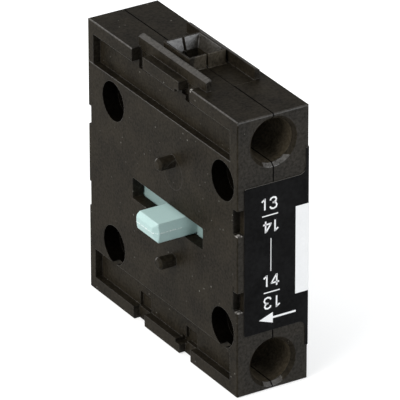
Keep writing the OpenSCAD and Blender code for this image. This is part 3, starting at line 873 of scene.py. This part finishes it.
@dataclass
class Spring:
    """Compression spring along Y with closed end turns."""

    name: str
    replaces: str
    start: float
    end: float
    outer_dia: float
    wire_dia: float
    free_turns: float
    body: Body
    joint: str
    fixed_end: float
    keep: float
    axis_x: float = 6.1 * MM
    axis_z: float = MID_Z
    steps_per_turn: int = 36
    wire_sides: int = 12
    closed_pitch: float = 1.02

    def mesh(self) -> bmesh.types.BMesh:
        """Sweeps a circle of wire round the axis, with a closed turn at each end.

        Returns:
            The spring's mesh, in place.
        """
        wire_r = self.wire_dia / 2
        coil_r = self.outer_dia / 2 - wire_r
        length = self.end - self.start
        closed = self.wire_dia * self.closed_pitch
        made = bmesh.new()
        ring = bmesh.ops.create_circle(made, cap_ends=False, radius=wire_r,
                                       segments=self.wire_sides)
        place = Matrix.Translation((coil_r, wire_r, 0.0))
        bmesh.ops.transform(made, matrix=place, verts=ring["verts"])
        first_ring = list(made.edges)
        geometry = list(ring["verts"]) + list(made.edges)
        middle = length - self.wire_dia - 2 * closed
        for turns, rise in ((1.0, closed), (self.free_turns, middle), (1.0, closed)):
            steps = round(turns * self.steps_per_turn)
            swept = bmesh.ops.spin(
                made, geom=geometry, cent=(0, 0, 0), axis=(0, 1, 0),
                dvec=(0, rise / steps, 0), angle=2 * math.pi * turns, steps=steps,
                use_merge=False, use_duplicate=False,
            )
            geometry = swept["geom_last"]
        last_ring = [e for e in geometry if isinstance(e, bmesh.types.BMEdge)]
        bmesh.ops.contextual_create(made, geom=first_ring)
        bmesh.ops.contextual_create(made, geom=last_ring)
        bmesh.ops.translate(made, vec=(self.axis_x, self.start, self.axis_z), verts=made.verts)
        return made

    def build(self, shop: Workshop) -> None:
        """Builds the spring in place of the plain one.

        Args:
            shop: The workshop.
        """
        made = shop.piece(self.name, self.mesh(), Slot.SPRING, self.body, 60.0)
        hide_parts(self.replaces)
        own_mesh(made)


@dataclass
class SliderAssembly:
    """The teal slider with the two springs that work on it."""

    travel: float = 4.8 * MM
    wipe: float = 1.45 * MM
    return_start: float = 8.35 * MM
    return_end: float = 18.75 * MM
    contact_start: float = -12.45 * MM
    contact_end: float = -7.45 * MM
    wire_dia: float = 0.38 * MM

    def build(self, shop: Workshop) -> None:
        """Dresses the slider and builds both springs.

        Args:
            shop: The workshop.
        """
        shop.dress(Slot.SLIDER, "slider")
        free = self.return_end - self.return_start
        Spring("return_coil", "return_spring", self.return_start, self.return_end, 3.6 * MM,
               self.wire_dia, 6.0, Body.HOUSING, "slider_travel", self.return_end,
               1 - self.travel / free).build(shop)
        free = self.contact_end - self.contact_start
        Spring("contact_coil", "contact_spring", self.contact_start, self.contact_end,
               3.0 * MM, self.wire_dia, 4.0, Body.SLIDER, "bridge_float",
               self.contact_start, 1 - self.wipe / free).build(shop)


@dataclass
class ContactSet:
    """Moving bridge, fixed strips and their silver tips."""

    def build(self, shop: Workshop) -> None:
        """Dresses the contacts.

        Args:
            shop: The workshop.
        """
        shop.dress(Slot.BRASS, "contact_bridge", "upper_fixed_contact", "lower_fixed_contact")
        shop.dress(Slot.SILVER, "upper_moving_tip", "lower_moving_tip", "upper_fixed_tip",
                   "lower_fixed_tip")


@dataclass
class TerminalScrew:
    """Clamp screw with a real thread and a combined slot and cross recess."""

    side: str
    body: Body
    height: float
    axis_x: float = 6.1 * MM
    head_front: float = -10.7 * MM
    head_len: float = 1.95 * MM
    head_r: float = 3.1 * MM
    tip: float = -1.45 * MM
    thread_r: float = 1.75 * MM
    core_r: float = 1.42 * MM
    pitch: float = 0.6 * MM
    slot_w: float = 1.0 * MM
    cross_len: float = 3.8 * MM
    cross_depth: float = 1.2 * MM
    lathe_steps: int = 64
    thread_steps: int = 40
    plain_shank: float = 0.9 * MM
    plain_tip: float = 0.55 * MM
    root_depth: float = 0.05 * MM
    thread_share: float = 0.42
    crest_share: float = 0.22

    def blank(self) -> bmesh.types.BMesh:
        """Turns the head and the core of the shank from a profile.

        Returns:
            The blank along +Y, with the middle of the head's front at the origin.
        """
        edge, fillet = 0.4 * MM, 0.2 * MM
        length = self.tip - self.head_front
        profile = [
            (0.0, 0.0), (self.head_r - edge, 0.0), (self.head_r, edge),
            (self.head_r, self.head_len), (self.core_r + fillet, self.head_len),
            (self.core_r, self.head_len + fillet), (self.core_r, length - edge),
            (self.core_r - edge, length), (0.0, length),
        ]
        made = bmesh.new()
        points = [made.verts.new((r, y, 0.0)) for r, y in profile]
        lines = [made.edges.new(pair) for pair in zip(points, points[1:])]
        bmesh.ops.spin(made, geom=points + lines, cent=(0, 0, 0), axis=(0, 1, 0),
                       angle=2 * math.pi, steps=self.lathe_steps, use_merge=True)
        bmesh.ops.remove_doubles(made, verts=made.verts, dist=MERGE)
        bmesh.ops.recalc_face_normals(made, faces=made.faces)
        return made

    def recess(self) -> bmesh.types.BMesh:
        """Makes the tool that cuts the slot and the cross.

        Returns:
            Two crossed blocks at the head's front.
        """
        made = bmesh.new()
        for size in ((3 * self.head_r, self.slot_w), (self.slot_w, self.cross_len)):
            block = bmesh.ops.create_cube(made, size=1.0)
            scale = Matrix.Diagonal((size[0], 2 * self.cross_depth, size[1], 1.0))
            bmesh.ops.transform(made, matrix=scale, verts=block["verts"])
        return made

    def thread(self) -> bmesh.types.BMesh:
        """Sweeps the thread's ridge round the core.

        Returns:
            The ridge along +Y, closed at both ends.
        """
        start = self.head_len + self.plain_shank
        length = self.tip - self.head_front - self.plain_tip - start
        turns = length / self.pitch
        made = bmesh.new()
        half = self.pitch * self.thread_share
        crest, root = half * self.crest_share, self.core_r - self.root_depth
        profile = [(root, -half), (self.thread_r, -crest), (self.thread_r, crest), (root, half)]
        points = [made.verts.new((r, start + y, 0.0)) for r, y in profile]
        lines = [made.edges.new((points[i], points[(i + 1) % 4])) for i in range(4)]
        steps = round(turns * self.thread_steps)
        swept = bmesh.ops.spin(
            made, geom=points + lines, cent=(0, 0, 0), axis=(0, 1, 0),
            dvec=(0, length / steps, 0), angle=2 * math.pi * turns, steps=steps,
            use_merge=False,
        )
        last = [e for e in swept["geom_last"] if isinstance(e, bmesh.types.BMEdge)]
        bmesh.ops.contextual_create(made, geom=lines)
        bmesh.ops.contextual_create(made, geom=last)
        bmesh.ops.recalc_face_normals(made, faces=made.faces)
        return made

    def cut_blank(self) -> bmesh.types.BMesh:
        """Cuts the recess into the blank.

        Returns:
            The blank with its recess.
        """
        holders = []
        for name, part in (("screw_blank", self.blank()), ("screw_recess", self.recess())):
            data = bpy.data.meshes.new(name)
            part.to_mesh(data)
            part.free()
            holder = bpy.data.objects.new(name, data)
            bpy.context.scene.collection.objects.link(holder)
            holders.append(holder)
        cut = holders[0].modifiers.new("recess", "BOOLEAN")
        cut.operation, cut.object, cut.solver = "DIFFERENCE", holders[1], "EXACT"
        cut.use_self = True
        seen = holders[0].evaluated_get(bpy.context.evaluated_depsgraph_get())
        made = bmesh.new()
        made.from_mesh(seen.to_mesh())
        seen.to_mesh_clear()
        for holder in holders:
            data = holder.data
            bpy.data.objects.remove(holder)
            bpy.data.meshes.remove(data)
        return made

    def build(self, shop: Workshop) -> None:
        """Builds the screw in place of the plain one.

        Args:
            shop: The workshop.
        """
        made = self.cut_blank()
        ridge = bpy.data.meshes.new("screw_thread")
        thread = self.thread()
        thread.to_mesh(ridge)
        thread.free()
        made.from_mesh(ridge)
        bpy.data.meshes.remove(ridge)
        bmesh.ops.translate(made, vec=(self.axis_x, self.head_front, self.height),
                            verts=made.verts)
        screw = shop.piece(f"{self.side}_clamp_screw", made, Slot.ZINC, self.body)
        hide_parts(f"{self.side}_terminal_screw")


@dataclass
class Terminals:
    """Both screw clamps."""

    height: float = 18.0 * MM

    def build(self, shop: Workshop) -> None:
        """Dresses the cages and builds the screws.

        Args:
            shop: The workshop.
        """
        shop.dress(Slot.ZINC, "upper_clamp_cage", "lower_clamp_cage")
        TerminalScrew("upper", Body.UPPER_SCREW, MID_Z + self.height).build(shop)
        TerminalScrew("lower", Body.LOWER_SCREW, MID_Z - self.height).build(shop)


@dataclass
class Label:
    """Wrapped black label with its white field, terminal numbers, lines and arrow.

    Places on the face are in X and Z, and they and the widths of strokes are in millimetres.
    """

    face_y: float = -19.72 * MM
    ink: float = 0.018 * MM
    sunk: float = 0.004 * MM
    mitre_limit: float = 0.4
    half_digit: float = 0.96
    half_stroke: float = 0.13
    half_shaft: float = 0.155
    numbers: tuple[tuple[tuple[str, float, float, bool], ...], ...] = (
        (("1", 4.6, 8.68, False), ("3", 6.08, 8.62, False)),
        (("4", 5.03, 4.93, True), ("1", 6.36, 4.85, True)),
        (("1", 4.98, -3.93, False), ("4", 6.4, -4.05, False)),
        (("3", 5.12, -7.6, True), ("1", 6.68, -7.68, True)),
    )
    rules: tuple[tuple[float, float, float, float, float], ...] = (
        (4.16, 6.75, 6.86, 6.77, 0.09), (4.46, -5.85, 7.22, -5.85, 0.09),
        (5.67, -2.43, 5.67, 2.93, 0.065),
    )
    arrow_tip: tuple[float, float] = (3.64, -10.16)
    arrow_neck_x: float = 6.04
    arrow_half: float = 0.88
    arrow_end_x: float = 10.0

    def _flat(self, made: bmesh.types.BMesh, points: list[tuple[float, float]]) -> None:
        """Adds a flat shape of ink from its outline.

        Args:
            made: The mesh that it joins.
            points: Places in X and Z, in millimetres, in order round the shape.
        """
        corners = [made.verts.new((x * MM, self.face_y + self.sunk, z * MM))
                   for x, z in points]
        face = made.faces.new(corners)
        lifted = bmesh.ops.extrude_face_region(made, geom=[face])
        raised = [v for v in lifted["geom"] if isinstance(v, bmesh.types.BMVert)]
        bmesh.ops.translate(made, vec=(0, -self.ink - self.sunk, 0), verts=raised)

    def _line(self, made: bmesh.types.BMesh, points: list[tuple[float, float]],
              half: float) -> None:
        """Adds a line of ink with mitred corners.

        Args:
            made: The mesh that it joins.
            points: Places along its middle in X and Z, in millimetres.
            half: Half its width, in millimetres.
        """
        places = [Vector(p) for p in points]
        ways = [(b - a).normalized() for a, b in zip(places, places[1:])]
        left, right = [], []
        for index, place in enumerate(places):
            before, after = ways[max(index - 1, 0)], ways[min(index, len(ways) - 1)]
            side = Vector((-before.y - after.y, before.x + after.x)).normalized()
            reach = half / max(side.dot(Vector((-after.y, after.x))), self.mitre_limit)
            left.append(tuple(place + side * reach))
            right.append(tuple(place - side * reach))
        self._flat(made, left + right[::-1])

    def _digit(self, made: bmesh.types.BMesh, text: str, x: float, z: float,
               inverted: bool) -> None:
        """Adds one digit.

        Args:
            made: The mesh that it joins.
            text: The digit.
            x: Its place across the face, in millimetres.
            z: Its middle up the face, in millimetres.
            inverted: Whether it reads upside down.
        """
        size = -self.half_digit if inverted else self.half_digit
        for stroke in STROKES[text]:
            self._line(made, [(x + size * u, z + size * v) for u, v in stroke],
                       self.half_stroke)

    def build(self, shop: Workshop) -> None:
        """Dresses the label and prints on it.

        Args:
            shop: The workshop.
        """
        shop.dress(Slot.FILM, "side_label")
        shop.dress(Slot.WHITE, "label_field")
        for index, digits in enumerate(self.numbers, 1):
            made = bmesh.new()
            for text, x, z, inverted in digits:
                self._digit(made, text, x, z, inverted)
            shop.piece(f"terminal_number_{index}", made, Slot.WHITE, Body.HOUSING)
        made = bmesh.new()
        for x0, z0, x1, z1, half in self.rules:
            self._line(made, [(x0, z0), (x1, z1)], half)
        shop.piece("symbol_lines", made, Slot.WHITE, Body.HOUSING)
        made = bmesh.new()
        tip_x, mid_z = self.arrow_tip
        self._flat(made, [
            (tip_x, mid_z), (self.arrow_neck_x, mid_z - self.arrow_half),
            (self.arrow_neck_x, mid_z - self.half_shaft),
            (self.arrow_end_x, mid_z - self.half_shaft),
            (self.arrow_end_x, mid_z + self.half_shaft),
            (self.arrow_neck_x, mid_z + self.half_shaft),
            (self.arrow_neck_x, mid_z + self.arrow_half),
        ])
        shop.piece("travel_arrow", made, Slot.WHITE, Body.HOUSING)


@dataclass
class Lamp:
    """One soft area lamp."""

    name: str
    place: Place
    power: float
    width: float
    height: float
    colour: Colour = (1.0, 1.0, 1.0)

    def build(self, target: Vector) -> None:
        """Hangs the lamp and turns it to the object.

        Args:
            target: Where it points.
        """
        light = bpy.data.lights.new(self.name, "AREA")
        light.energy, light.shape = self.power, "ELLIPSE"
        light.size, light.size_y = self.width, self.height
        light.color = self.colour
        lamp = bpy.data.objects.new(self.name, light)
        lamp.location = self.place
        lamp.rotation_euler = (target - Vector(self.place)).to_track_quat("-Z", "Y").to_euler()
        bpy.context.scene.collection.objects.link(lamp)


@dataclass
class Studio:
    """Plain pale floor, soft lamps, world light and the camera."""

    floor_z: float = MID_Z - 22.56 * MM
    floor_size: float = 3.0
    floor_colour: Colour = (0.6, 0.6, 0.6)
    floor_glow: float = 0.62
    ambient: float = 0.45
    air: Colour = (0.95, 0.98, 1.0)
    aim: Place = (0.006, 0.0, 0.0)
    camera_place: Place = (-0.4004, -0.6634, 0.3914)
    azimuth: float = -31.47
    elevation: float = 26.67
    roll: float = -0.10
    lens: float = 528.8
    sensor: float = 36.0
    lamps: list[Lamp] = field(default_factory=lambda: [
        Lamp("back_left", (-0.205, 0.622, 0.458), 1.9, 0.5, 0.3, (1.0, 0.98, 0.95)),
        Lamp("front_right", (0.385, -0.655, 0.25), 2.6, 0.3, 0.5, (0.93, 0.96, 1.0)),
        Lamp("left", (-0.62, -0.12, 0.48), 4.7, 0.6, 0.6, (1.0, 0.985, 0.955)),
    ])

    def _backdrop_share(self, sheet: NodeSheet) -> bpy.types.NodeSocket:
        """Makes a mask of the rays that see the plain background.

        Args:
            sheet: The sheet of the world or of the floor's material.

        Returns:
            The mask's socket.
        """
        path = sheet.add("ShaderNodeLightPath").outputs
        seen = sheet.math("MAXIMUM", path["Is Camera Ray"], path["Is Glossy Ray"])
        return sheet.math("MAXIMUM", seen, path["Is Transmission Ray"])

    def _world(self) -> None:
        """Makes the world: an even ambient light that shows as white."""
        world = bpy.data.worlds.new("studio")
        bpy.context.scene.world = world
        world.use_nodes = True
        world.node_tree.nodes.clear()
        sheet = NodeSheet(world.node_tree)
        light = sheet.add("ShaderNodeBackground", {
            "Color": _rgba(self.air), "Strength": self.ambient,
        })
        white = sheet.add("ShaderNodeBackground", {
            "Color": (1.0, 1.0, 1.0, 1.0), "Strength": 1.0,
        })
        mixed = sheet.add("ShaderNodeMixShader", {
            0: self._backdrop_share(sheet), 1: light.outputs[0], 2: white.outputs[0],
        })
        sheet.add("ShaderNodeOutputWorld", {"Surface": mixed.outputs[0]})

    def _floor(self) -> None:
        """Makes the pale floor, which keeps the object's shadow."""
        made = bmesh.new()
        bmesh.ops.create_grid(made, x_segments=1, y_segments=1, size=self.floor_size / 2)
        bmesh.ops.translate(made, vec=(0, 0, self.floor_z), verts=made.verts)
        data = bpy.data.meshes.new("floor")
        made.to_mesh(data)
        made.free()
        material, sheet, shader = start_material("pale_floor")
        shader.inputs["Base Color"].default_value = _rgba(self.floor_colour)
        shader.inputs["Roughness"].default_value = 0.9
        shader.inputs["Specular IOR Level"].default_value = 0.1
        glow = sheet.add("ShaderNodeEmission", {
            "Strength": sheet.math("MULTIPLY", self._backdrop_share(sheet), self.floor_glow),
        })
        both = sheet.add("ShaderNodeAddShader", {0: shader.outputs[0], 1: glow.outputs[0]})
        output = next(n for n in sheet.tree.nodes if n.type == "OUTPUT_MATERIAL")
        sheet.tree.links.new(both.outputs[0], output.inputs["Surface"])
        data.materials.append(material)
        floor = bpy.data.objects.new("floor", data)
        bpy.context.scene.collection.objects.link(floor)

    def _camera(self) -> None:
        """Sets the camera at the photograph's viewing angle."""
        turn, rise, roll = (math.radians(a) for a in (self.azimuth, self.elevation, self.roll))
        back = Vector((math.sin(turn) * math.cos(rise), -math.cos(turn) * math.cos(rise),
                       math.sin(rise)))
        right = Vector((math.cos(turn), math.sin(turn), 0.0))
        up = back.cross(right)
        rolled = (math.cos(roll) * right + math.sin(roll) * up,
                  math.cos(roll) * up - math.sin(roll) * right, back)
        lens = bpy.data.cameras.new("camera")
        lens.sensor_fit, lens.sensor_width, lens.lens = "HORIZONTAL", self.sensor, self.lens
        lens.clip_start, lens.clip_end = 0.01, 20.0
        camera = bpy.data.objects.new("camera", lens)
        camera.matrix_world = (Matrix.Translation(self.camera_place)
                               @ Matrix(rolled).transposed().to_4x4())
        bpy.context.scene.collection.objects.link(camera)
        bpy.context.scene.camera = camera

    def build(self) -> None:
        """Builds the studio."""
        bpy.context.scene.view_settings.view_transform = "Standard"
        self._world()
        self._floor()
        self._camera()
        for lamp in self.lamps:
            lamp.build(Vector(self.aim))


def main() -> None:
    """Loads the frame and builds each sub-assembly and the studio."""
    logging.basicConfig(level=logging.INFO, format="%(name)s: %(message)s")
    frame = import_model()
    shop = Workshop(frame["nodes"])
    for assembly in (Housing(), SliderAssembly(), ContactSet(), Terminals(), Label()):
        assembly.build(shop)
    Studio().build()


if __name__ == "__main__":
    main()
